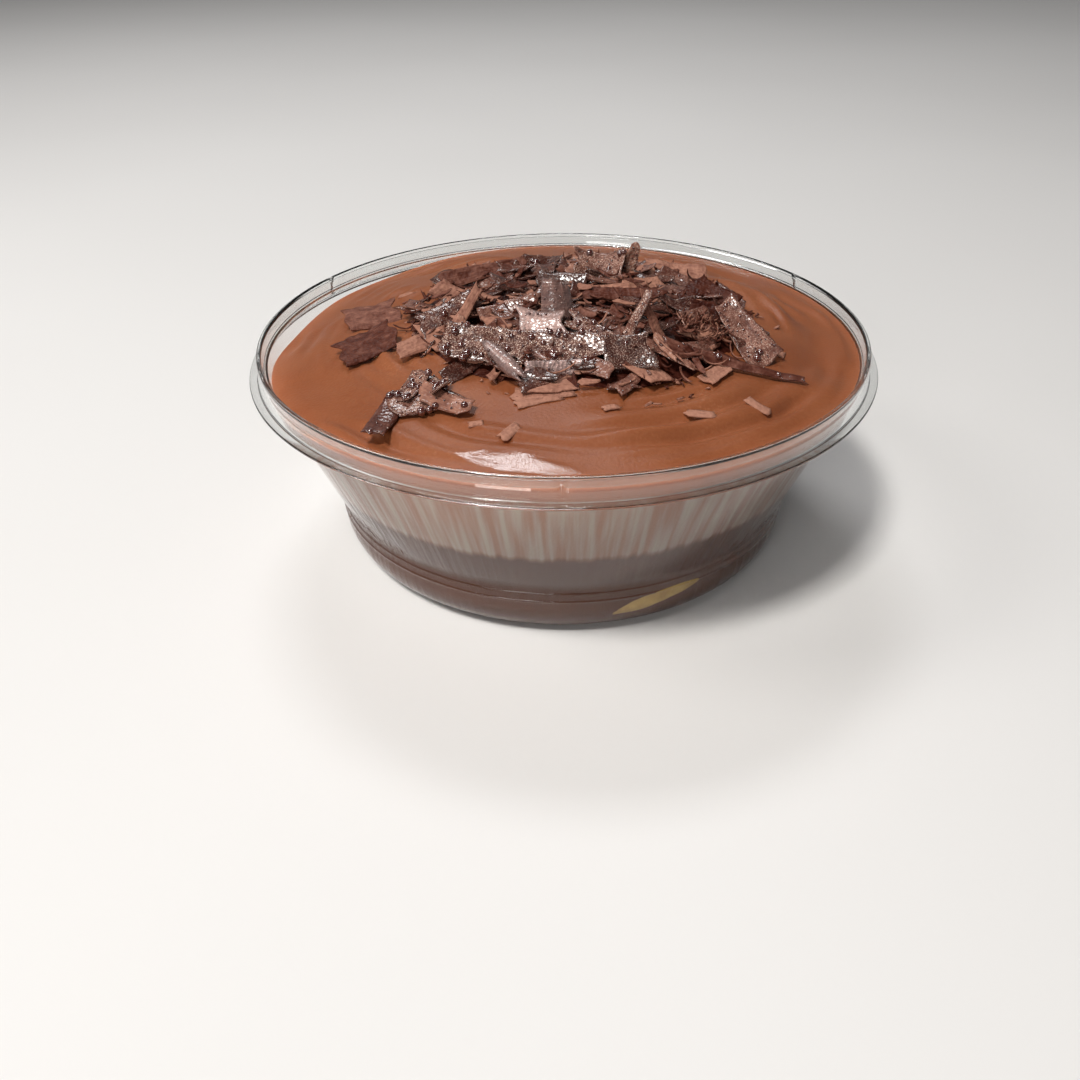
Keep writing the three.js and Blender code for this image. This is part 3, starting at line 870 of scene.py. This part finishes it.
def plate(size, curl, point, factors, grid, thick, rng):
    """Upper and lower points of a bent ragged shaving, and its flat coordinates for the grain."""
    length, width = size
    near, far, slant = factors
    u = np.linspace(-0.5, 0.5, grid[0] + 1)[:, None]
    v = np.linspace(-1, 1, grid[1] + 1)[None, :]
    stations = np.linspace(-0.5, 0.5, len(near))
    nicks = wave_noise(rng, NICK_SIZE)(u * length, np.sign(v) * NICKS_APART)
    half = np.where(v < 0, np.interp(u, stations, near), np.interp(u, stations, far))
    half = half * (1 - point * (u + 0.5)) * (1 + NICK_DEPTH * nicks)
    across = v * half * width / 2
    torn = wave_noise(rng, END_SIZE * width)(across, np.sign(u) * ENDS_APART)
    ends = (END_RAGGED[0] + END_RAGGED[1] * length) * np.abs(2 * u) ** END_POWER * torn
    along = u * length + slant * across + ends
    rim = (1 - np.abs(v) ** RIM_POWERS[0]) * (1 - np.abs(2 * u) ** RIM_POWERS[1])
    ripple = (RIPPLE[0] + RIPPLE[1] * length) * wave_noise(rng, RIPPLE_SIZE)(along, across)
    cup = rng.uniform(*HOLLOW) * width * v**2
    half_thick = thick * (HALF_THICK[0] + HALF_THICK[1] * rim)
    bend = math.radians(max(curl, 1)) / length
    layers = []
    for side in (1, -1):
        radius = 1 / bend - ripple - cup - side * half_thick
        turn = along * bend
        rise = 1 / bend - radius * np.cos(turn)
        layers.append(np.stack([radius * np.sin(turn), across, rise], -1))
    grain = np.stack([along, across, 0 * along], -1)
    return np.stack(layers), np.stack([grain, grain + (0, 0, SIDES_APART)])


def plate_faces(grid, first):
    columns, rows = grid[0] + 1, grid[1] + 1
    top = first + np.arange(columns * rows).reshape(columns, rows)
    low = top + columns * rows
    faces = []
    for c in range(grid[0]):
        for r in range(grid[1]):
            faces.append((top[c, r], top[c + 1, r], top[c + 1, r + 1], top[c, r + 1]))
            faces.append((low[c, r], low[c, r + 1], low[c + 1, r + 1], low[c + 1, r]))
        faces.append((top[c, 0], low[c, 0], low[c + 1, 0], top[c + 1, 0]))
        faces.append((top[c + 1, -1], low[c + 1, -1], low[c, -1], top[c, -1]))
    for r in range(grid[1]):
        faces.append((top[0, r + 1], low[0, r + 1], low[0, r], top[0, r]))
        faces.append((top[-1, r], low[-1, r], low[-1, r + 1], top[-1, r + 1]))
    return faces


def surface_turn(at):
    """Turn that lays a piece along the heap's slope at a place."""
    x, y = at
    step = SLOPE_STEP
    slope_x = (heap_top(x + step, y) - heap_top(x - step, y)) / (2 * step)
    slope_y = (heap_top(x, y + step) - heap_top(x, y - step)) / (2 * step)
    slope_x, slope_y = np.clip((slope_x, slope_y), -STEEPEST, STEEPEST)
    normal = Vector((-slope_x, -slope_y, 1))
    return np.array(Vector((0, 0, 1)).rotation_difference(normal).to_matrix())


def scatter(heap, rng, kind, grid, spot=None, wet=DAMP):
    """Scatters shavings over the heap, or round one spot, and gives their upper sides."""
    count, thick, lengths, widths, curls, lifts = kind
    surfaces = []
    for _ in range(count):
        share, angle = math.sqrt(rng.random()), rng.uniform(0, 2 * math.pi)
        at = on_heap(SCATTER_REACH * share, angle)
        if spot:
            (x, y), radius = spot
            at = (x + radius * share * math.cos(angle), y + radius * share * math.sin(angle))
        turn = (rng.uniform(*SCATTER_SPIN), rng.normal(*SCATTER_PITCH), rng.normal(*SCATTER_ROLL))
        size = (rng.uniform(*lengths), rng.uniform(*widths))
        curl = rng.uniform(*curls)
        tone = random_tone(rng)
        lift = rng.uniform(*lifts)
        piece = (at, lift, turn, size, curl, rng.uniform(*SCATTER_POINT), tone)
        factors = edge_factors(curl, rng.random)
        upper, _ = heap.add(piece, factors, grid, thick, base=surface_turn(at), wet=wet)
        surfaces.append(upper)
    return surfaces


def make_core(material):
    around = circle(CORE_GRID[0])
    rng = np.random.default_rng(CORE_SEED)
    coarse, fine = (wave_noise(rng, size) for size in CORE_BUMP_SIZES)
    rows = []
    for share in np.linspace(1, 0, CORE_GRID[1] + 1):
        x = HEAP_CENTRE[0] + HEAP_RADII[0] * share * np.cos(around)
        y = HEAP_CENTRE[1] + HEAP_RADII[1] * share * np.sin(around)
        rough = CORE_BUMP * (coarse(x, y) + CORE_FINE_SHARE * fine(x, y))
        bump = rough * smooth((1 - share) * CORE_EDGE_FADE)
        height = mousse_top(x, y) + CORE_SHARE * core_height(x, y) - CORE_SINK
        rows.append(np.stack([x, y, height + bump], 1))
    points = np.concatenate(rows)
    grain = points * (1, 1, 0)
    # The core takes the darkest tone, dark chocolate that is partly painted shade in the gaps between
    # the shavings
    attributes = {"tone": np.full(len(points), 0.0), "grain": grain}
    faces = grid_faces(len(rows), CORE_GRID[0], False, True)
    make_piece("heap_core", points, faces, material, attributes)


# Droplets


class Beads:
    """Collects droplets into one mesh."""

    def __init__(self, seed, radii, grid, pale_share):
        self.rng = np.random.default_rng(seed)
        self.radii = radii
        self.pale_share = pale_share
        self.points = []
        self.faces = []
        self.tones = []
        self.count = 0
        polar = np.linspace(0, math.pi, grid[0])
        profile = list(zip(np.sin(polar), -np.cos(polar)))
        self.ball, self.ball_faces = revolve(profile, circle(grid[1]))

    def scatter(self, surface, count):
        """Sets droplets at random on a grid of points."""
        columns, rows = surface.shape[:2]
        for _ in range(count):
            c, r = self.rng.integers(1, columns), self.rng.integers(1, rows)
            corner = surface[c, r]
            side_u, side_v = surface[c - 1, r] - corner, surface[c, r - 1] - corner
            normal = np.cross(side_u, side_v)
            share = self.rng.random(2)
            low, high = self.radii
            radius = low + (high - low) * self.rng.random() ** BEAD_POWER
            spot = corner + share[0] * side_u + share[1] * side_v
            self.place(spot + normal / np.linalg.norm(normal) * radius * BEAD_RISE, radius)

    def place(self, spot, radius):
        # A pale droplet is a painted highlight
        pale = self.rng.random() < self.pale_share
        tone = self.rng.uniform(*(PALE_BEADS if pale else DARK_BEADS))
        self.faces += [[i + self.count for i in face] for face in self.ball_faces]
        self.points.append(self.ball * radius + spot)
        self.tones.append(np.full(len(self.ball), tone))
        self.count += len(self.ball)

    def build(self, name, material):
        points = np.concatenate(self.points)
        tones = {"tone": np.concatenate(self.tones)}
        return make_piece(name, points, self.faces, material, tones)


def make_shavings(chocolate, droplet):
    rng = np.random.default_rng(SEEDS["scatter"])
    flakes, medium = Heap(SEEDS["flakes"]), Heap(SEEDS["medium"])
    small, shreds = Heap(SEEDS["small"]), Heap(SEEDS["shreds"])
    fine = Beads(SEEDS["fine_beads"], FINE_RADII, FINE_BEAD, FINE_PALE_SHARE)
    large = Beads(SEEDS["large_beads"], LARGE_RADII, LARGE_BEAD, 0)
    beads = (fine, large)
    draw = seeded_random(FLAKE_EDGE_SEED)
    for name, piece in LARGE.items():
        add_wet(flakes, beads, piece, draw, LARGE_GRID, WET.get(name, DRY))
    for piece in fill_pieces():
        wet = FILL_WET if piece[TONE_PLACE] < WET_TONE else DRY
        add_wet(flakes, beads, piece, draw, FILL_GRID, wet)
    add_wet(flakes, beads, FLARE, draw, FILL_GRID, FLARE_WET)
    for surface in scatter(medium, rng, MEDIUM, FILL_GRID, wet=MEDIUM_WET[0]):
        wet_surface(beads, surface, MEDIUM_WET)
    scatter(small, rng, SMALL, SMALL_GRID)
    scatter(shreds, rng, SHREDS, SHRED_GRID)
    scatter(shreds, rng, WOOL, SHRED_GRID, WOOL_SPOT)
    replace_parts(flakes.build("shavings_flakes", chocolate), "shavings")
    medium.build("shavings_medium", chocolate)
    small.build("shavings_small", chocolate)
    shreds.build("shavings_shreds", chocolate)
    make_front_heap(chocolate, beads)
    fine.build("droplets_fine", droplet)
    large.build("droplets_large", droplet)


def add_wet(heap, beads, piece, draw, grid, wet):
    """Adds one shaving with droplets on its upper side, or on the outside of a strong bend."""
    curl = piece[CURL_PLACE]
    upper, lower = heap.add(piece, edge_factors(curl, draw), grid, wet=wet[0])
    rolled = curl > ROLLED_CURL
    wet_surface(beads, lower[::-1] if rolled else upper, wet)


def wet_surface(beads, surface, wet):
    """Sets fine and large droplets on one side of a shaving."""
    for kind, count in zip(beads, wet[1:]):
        kind.scatter(surface, count)


def make_front_heap(chocolate, beads):
    heap = Heap(SEEDS["front"])
    draw = seeded_random(FRONT_EDGE_SEED)
    for piece, wet in zip(FRONT, FRONT_WET):
        add_wet(heap, beads, piece, draw, FILL_GRID, wet)
    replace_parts(heap.build("front_heap", chocolate), "shavings_front")


def make_loose(chocolate):
    draw = seeded_random(LOOSE_EDGE_SEED)
    for name, piece in LOOSE.items():
        heap = Heap(SEEDS["loose"])
        heap.add(piece, edge_factors(piece[CURL_PLACE], draw), LARGE_GRID)
        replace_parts(heap.build("loose_" + name, chocolate), name)


def make_chips(chocolate):
    """Flat chips and crumbs that lie on the mousse round the heap."""
    heap = Heap(SEEDS["chips"])
    draw = seeded_random(CHIP_EDGE_SEED)
    for at, spin, size in CHIPS:
        piece = (at, 0, (spin, 0, 0), size, CHIP_CURL, 0, CHIP_TONE)
        factors = edge_factors(CHIP_CURL, draw)
        height = mousse_top(*at) + CHIP_LIFT
        heap.add(piece, factors, SMALL_GRID, height=height, base=surface_turn(at))
    rng = np.random.default_rng(SEEDS["crumbs"])
    for _ in range(CRUMB_COUNT):
        share = 1.0 + CRUMB_REACH * rng.random() ** CRUMB_POWER
        at = on_heap(share, rng.uniform(0, 2 * math.pi))
        size = (rng.uniform(*CRUMB_LENGTH), rng.uniform(*CRUMB_WIDTH))
        turn = (rng.uniform(0, 360), rng.normal(*CRUMB_TILT), rng.normal(*CRUMB_TILT))
        piece = (at, CHIP_LIFT, turn, size, CHIP_CURL, CRUMB_POINT, rng.uniform(*CRUMB_TONES))
        heap.add(piece, edge_factors(CHIP_CURL, rng.random), CRUMB_GRID, thick=CRUMB_THICK)
    heap.build("chips", chocolate)


# Materials


def shader_tree(name):
    material = bpy.data.materials.new(name)
    material.use_nodes = True
    tree = material.node_tree
    return material, tree, tree.nodes["Principled BSDF"]


def feed(tree, made, inputs):
    """Sets or links a node's inputs by name."""
    for key, value in inputs.items():
        if isinstance(value, bpy.types.NodeSocket):
            tree.links.new(value, made.inputs[key])
        else:
            made.inputs[key].default_value = value


def node(tree, kind, inputs=None, **settings):
    """Adds a node with its settings and inputs."""
    made = tree.nodes.new(kind)
    for key, value in settings.items():
        setattr(made, key, value)
    feed(tree, made, inputs or {})
    return made


def ramp(tree, factor, stops):
    """Colour ramp from (place, colour) stops."""
    made = node(tree, "ShaderNodeValToRGB", {"Fac": factor})
    elements = made.color_ramp.elements
    while len(elements) < len(stops):
        elements.new(0.5)
    for element, (place, colour) in zip(elements, stops):
        element.position = place
        element.color = (*colour, 1)
    return made.outputs["Color"]


def span(tree, factor, low, high, start=0.0, end=1.0):
    """Maps a factor from one span to another."""
    inputs = {"Value": factor, "From Min": start, "From Max": end, "To Min": low, "To Max": high}
    return node(tree, "ShaderNodeMapRange", inputs).outputs["Result"]


def maths(tree, operation, *values):
    made = node(tree, "ShaderNodeMath", dict(enumerate(values)), operation=operation)
    return made.outputs["Value"]


def bump(tree, height, strength, distance, **settings):
    """Normal of a surface with a fine relief."""
    inputs = {"Height": height, "Strength": strength, "Distance": distance}
    return node(tree, "ShaderNodeBump", inputs, **settings).outputs["Normal"]


def object_place(tree):
    return node(tree, "ShaderNodeTexCoord").outputs["Object"]


def noise(tree, place, scale, detail=2.0):
    inputs = {"Vector": place, "Scale": scale, "Detail": detail}
    return node(tree, "ShaderNodeTexNoise", inputs).outputs["Fac"]


def attribute(tree, name, output="Fac"):
    return node(tree, "ShaderNodeAttribute", attribute_name=name).outputs[output]


def blend_colours(tree, factor, first, second):
    """Mixes two colours by a factor that varies over the surface."""
    inputs = {0: factor, 6: first, 7: second}
    return node(tree, "ShaderNodeMix", inputs, data_type="RGBA").outputs[2]


def drawn_lines(tree, scale):
    """Noise that runs in upright lines round the bowl, and the height."""
    place = node(tree, "ShaderNodeSeparateXYZ", {"Vector": object_place(tree)}).outputs
    angle = maths(tree, "ARCTAN2", place["Y"], place["X"])
    lines = node(tree, "ShaderNodeCombineXYZ", {"X": angle, "Z": place["Z"]}).outputs["Vector"]
    return noise(tree, lines, scale, 3.0), place["Z"]


def clear_plastic():
    material, tree, shader = shader_tree("clear_plastic")
    lines, height = drawn_lines(tree, PLASTIC_LINE_SCALE)
    below_rim = span(tree, height, 1.0, 0.0, *FLANGE_FADE)
    inputs = {
        "Base Color": PLASTIC_COLOUR,
        "Transmission Weight": 1.0,
        "IOR": 1.6,
        "Roughness": 0.02,
        "Normal": bump(tree, maths(tree, "MULTIPLY", lines, below_rim), 0.25, 0.0015),
    }
    feed(tree, shader, inputs)
    return material


def wall_colour(tree, colour):
    """Painted reflection in pale upright streaks on the cone, and painted shade on the lower wall
    below them.
    """
    wall = attribute(tree, "wall")
    lines, height = drawn_lines(tree, REFLECTION_SCALE)
    ragged = maths(tree, "ADD", height, span(tree, lines, -REFLECTION_RAGGED, REFLECTION_RAGGED))
    cone = span(tree, ragged, 0.0, 1.0, *REFLECTION_FOOT)
    below_flange = span(tree, height, 1.0, 0.0, *FLANGE_FADE)
    band = maths(tree, "MULTIPLY", cone, below_flange)
    # Painted reflection: pale upright streaks on the cone below the flange
    reflection_streaks = maths(tree, "MULTIPLY", span(tree, lines, 0.3, 0.9, 0.4, 0.62), band)
    pale = blend_colours(tree, maths(tree, "MULTIPLY", reflection_streaks, wall), colour, WALL_PAINTED_REFLECTION)
    # Painted shade: the lower wall below the streaks turns darker
    foot = maths(tree, "MULTIPLY", span(tree, cone, 0.8, 0.0), wall)
    return blend_colours(tree, foot, pale, WALL_PAINTED_SHADE)


def mousse_material():
    material, tree, shader = shader_tree("mousse")
    place = object_place(tree)
    cloud = noise(tree, place, 45.0, 5.0)
    fine = noise(tree, place, 1400.0, 3.0)
    specks = maths(tree, "ADD", cloud, span(tree, fine, -0.3, 0.3))
    ragged = span(tree, noise(tree, place, 500.0), -0.25, 0.25)
    film = maths(tree, "ADD", attribute(tree, "film"), ragged)
    inputs = {
        "Base Color": wall_colour(tree, ramp(tree, specks, MOUSSE_TONES)),
        "Roughness": span(tree, fine, 0.3, 0.48),
        "Normal": bump(tree, fine, 0.22, 0.0004),
        "Coat Weight": span(tree, film, 0.0, 1.0, 0.0, 0.12),
        "Coat Normal": bump(tree, noise(tree, place, 2200.0), 0.3, 0.0002),
        "Coat Roughness": 0.12,
        "Specular IOR Level": 0.2,
        "Subsurface Weight": 0.12,
        "Subsurface Radius": (0.004, 0.0016, 0.0008),
        "Subsurface Scale": 0.5,
    }
    feed(tree, shader, inputs)
    return material


def choux_material():
    material, tree, shader = shader_tree("choux")
    place = object_place(tree)
    inputs = {
        "Base Color": ramp(tree, noise(tree, place, 220.0, 4.0), CHOUX_TONES),
        "Normal": bump(tree, noise(tree, place, 700.0, 3.0), 0.4, 0.0006),
        "Roughness": 0.7,
    }
    feed(tree, shader, inputs)
    return material


def chocolate_colour(tree, mixed, wet, glint_share, fields):
    """Colour by tone, with a painted satin sheen on the wettest pieces and painted highlight specks
    on wet ones.
    """
    grain, cloud, lines = fields
    light = span(tree, noise(tree, grain, 3.4, 1.0), 0.0, 1.0, 0.53, 0.66)
    patchy = span(tree, cloud, 0.35, 1.0, 0.4, 0.55)
    # Painted highlights: pale specks in patches on wet pieces
    specks = maths(tree, "MULTIPLY", maths(tree, "MULTIPLY", light, patchy), glint_share)
    sheen = span(tree, wet, 0.0, 0.7, 0.8, 1.0)
    # Painted sheen: a pale satin colour mixed in along the lines on the wettest pieces
    sheen_paint = maths(tree, "MULTIPLY", sheen, span(tree, lines, 0.5, 1.0))
    colour = blend_colours(tree, sheen_paint, ramp(tree, mixed, CHOCOLATE_TONES), PAINTED_SHEEN_COLOUR)
    return blend_colours(tree, specks, colour, PAINTED_GLINT_COLOUR)


def chocolate_material():
    material, tree, shader = shader_tree("chocolate")
    tone, wet = attribute(tree, "tone"), attribute(tree, "wet")
    grain = attribute(tree, "grain", "Vector")
    cloud = noise(tree, grain, 0.5, 4.0)
    stretched = node(tree, "ShaderNodeMapping", {"Vector": grain, "Scale": (0.25, 2.6, 1.0)})
    lines = noise(tree, stretched.outputs["Vector"], 1.0, 3.0)
    pores = node(tree, "ShaderNodeTexVoronoi", {"Vector": grain, "Scale": 1.1}).outputs["Distance"]
    clouded = maths(tree, "ADD", span(tree, cloud, -0.45, 0.45), tone)
    lined = maths(tree, "ADD", span(tree, lines, -0.28, 0.28), clouded)
    pored = maths(tree, "ADD", span(tree, pores, -0.05, 0.07, 0.0, 0.7), lined)
    # Painted highlight specks on wet pieces, fewer where the painted sheen takes over; the tone
    # darkens a little under them
    outside_sheen_paint = span(tree, wet, 1.0, 0.2, 0.82, 0.86)
    glint_share = maths(tree, "MULTIPLY", span(tree, wet, 0.0, 1.0, 0.5, 0.8), outside_sheen_paint)
    mixed = maths(tree, "ADD", maths(tree, "MULTIPLY", glint_share, -0.15), pored)
    dark = span(tree, clouded, 1.0, 0.3, 0.3, 0.9)
    shine = span(tree, wet, 0.0, 1.0, 0.2, 0.7)
    inputs = {
        "Base Color": chocolate_colour(tree, mixed, wet, glint_share, (grain, cloud, lines)),
        "Roughness": span(tree, mixed, 0.3, 0.6),
        "Metallic": span(tree, wet, 0.0, 0.5, 0.84, 1.0),
        "Normal": bump(tree, maths(tree, "ADD", pores, lines), 0.4, 0.0006),
        "Coat Weight": maths(tree, "MULTIPLY", dark, shine),
        "Coat Normal": bump(tree, pores, 1.0, 0.0001, invert=True),
        "Coat Roughness": 0.2,
        "Coat IOR": 1.7,
        "Specular IOR Level": 0.1,
    }
    feed(tree, shader, inputs)
    return material


def droplet_material():
    material, tree, shader = shader_tree("droplets")
    cloud = noise(tree, object_place(tree), 300.0)
    mixed = maths(tree, "ADD", span(tree, cloud, -0.1, 0.1), attribute(tree, "tone"))
    inputs = {
        "Base Color": ramp(tree, mixed, DROPLET_TONES),
        "Roughness": 0.06,
        "Specular IOR Level": 0.8,
        "Coat Weight": 1.0,
        "Coat IOR": 1.9,
        "Coat Roughness": 0.05,
    }
    feed(tree, shader, inputs)
    return material


def floor_material():
    material, tree, shader = shader_tree("floor")
    cloud = noise(tree, object_place(tree), 3.0)
    feed(tree, shader, {"Base Color": ramp(tree, cloud, FLOOR_TONES), "Roughness": 0.7})
    return material


# Stage


def make_floor():
    sides = ((-1, -1), (1, -1), (1, 1), (-1, 1))
    corners = [(FLOOR_HALF * x, FLOOR_HALF * y, FLOOR_Z) for x, y in sides]
    mesh = bpy.data.meshes.new("floor")
    mesh.from_pydata((np.array(corners) * MM).tolist(), [], [(0, 1, 2, 3)])
    mesh.materials.append(floor_material())
    floor = add_object("floor", mesh)


def add_light(name, place, size, power, colour):
    """Adds a soft rectangular light that points at the bowl."""
    data = bpy.data.lights.new(name, "AREA")
    data.shape = "RECTANGLE"
    data.size, data.size_y = size
    data.energy = power
    data.color = colour
    light = add_object(name, data)
    light.location = place
    direction = Vector(LIGHT_TARGET) - Vector(place)
    light.rotation_euler = direction.to_track_quat("-Z", "Y").to_euler()


def make_lights():
    for name, light in LIGHTS.items():
        add_light(name, *light)
    make_world()


def make_world():
    """Studio walls that are bright round the horizon and dark above."""
    world = bpy.data.worlds.new("studio")
    world.use_nodes = True
    tree = world.node_tree
    direction = node(tree, "ShaderNodeTexCoord").outputs["Generated"]
    height = node(tree, "ShaderNodeSeparateXYZ", {"Vector": direction}).outputs["Z"]
    tree.links.new(ramp(tree, height, STUDIO_WALLS), tree.nodes["Background"].inputs["Color"])
    bpy.context.scene.world = world


def make_camera():
    data = bpy.data.cameras.new("camera")
    data.sensor_fit = "HORIZONTAL"
    data.sensor_width = CAMERA_SENSOR
    data.lens = CAMERA_LENS
    data.clip_start = CAMERA_CLIP
    camera = add_object("camera", data)
    forward = Vector(CAMERA_FORWARD).normalized()
    right = forward.cross(Vector(CAMERA_UP)).normalized()
    turn = Matrix((right, right.cross(forward), -forward)).transposed()
    camera.matrix_world = Matrix.Translation(Vector(CAMERA_PLACE) * MM) @ turn.to_4x4()
    bpy.context.scene.camera = camera


make_camera()
make_lights()
make_floor()
bpy.context.scene.view_settings.view_transform = "Standard"
make_bowl(clear_plastic())
make_mousse(mousse_material())
make_bun(choux_material())
CHOCOLATE = chocolate_material()
make_core(CHOCOLATE)
make_shavings(CHOCOLATE, droplet_material())
make_loose(CHOCOLATE)
make_chips(CHOCOLATE)
